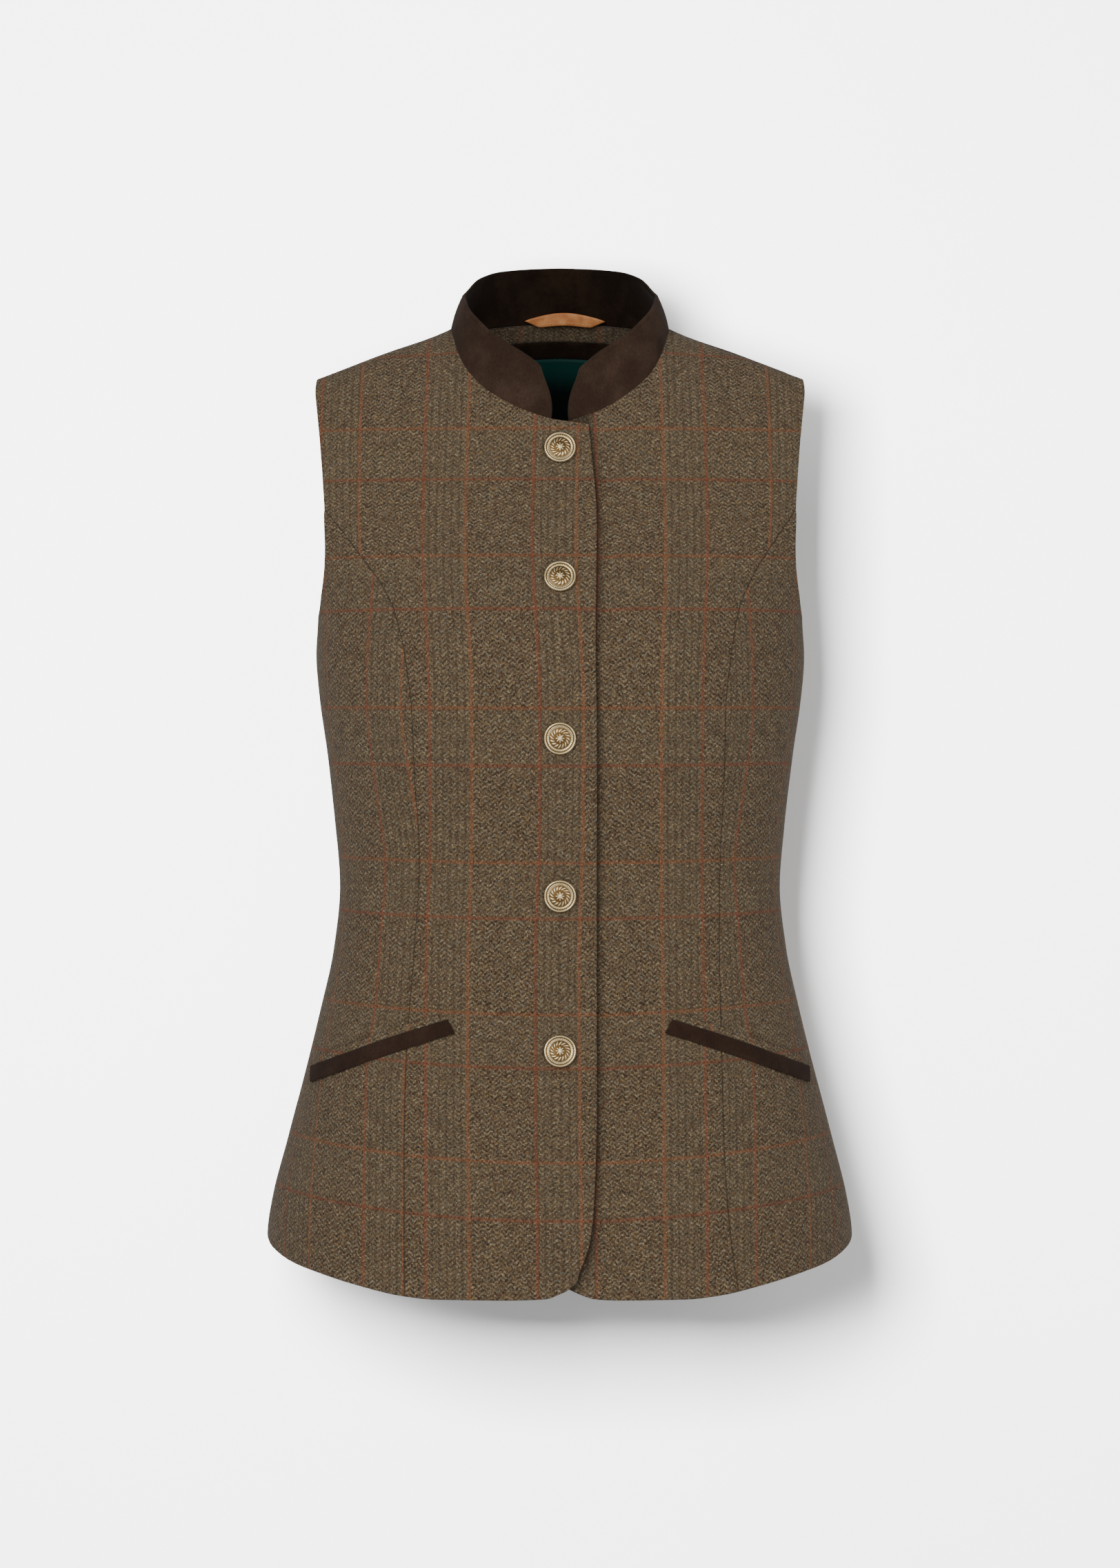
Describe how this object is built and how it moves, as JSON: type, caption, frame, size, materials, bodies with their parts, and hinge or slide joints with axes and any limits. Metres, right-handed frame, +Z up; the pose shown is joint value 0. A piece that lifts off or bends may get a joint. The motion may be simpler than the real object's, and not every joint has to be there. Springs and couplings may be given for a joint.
{
  "type": "suit waistcoat",
  "caption": "Hip-length fitted tweed waistcoat with princess seams, suede stand collar and slanted jetted pockets, closed right over left with domed metal shank buttons.",
  "frame": {"origin": "middle of the neck base, level with the neck ends of the shoulder seams", "axes": "+Z up, +X towards the wearer's left, -Y out of the front"},
  "size_m": [0.4094, 0.2754, 0.7176],
  "materials": {
    "tweed": "brown herringbone wool tweed with a rust and orange windowpane check",
    "suede": "dark brown suede",
    "lining": "dark brown satin lining",
    "label": "plain dark teal woven tape",
    "leather": "smooth tan leather",
    "antique_brass": "antiqued brass"
  },
  "bodies": {
    "root": {"front_right_centre": "tweed", "front_right_side": "tweed", "front_left_centre": "tweed", "front_left_side": "tweed", "back_right": "tweed", "back_left": "tweed", "back_neck_facing": "tweed", "facing_band": "suede", "back_lining": "lining", "label": "label", "collar": "suede", "hanger_loop": "leather", "pocket_right_jet": "suede", "pocket_right_lip": "tweed", "pocket_left_jet": "suede", "pocket_left_lip": "tweed", "button_1": "antique_brass", "button_2": "antique_brass", "button_3": "antique_brass", "button_4": "antique_brass", "button_5": "antique_brass"}
  },
  "joints": []
}
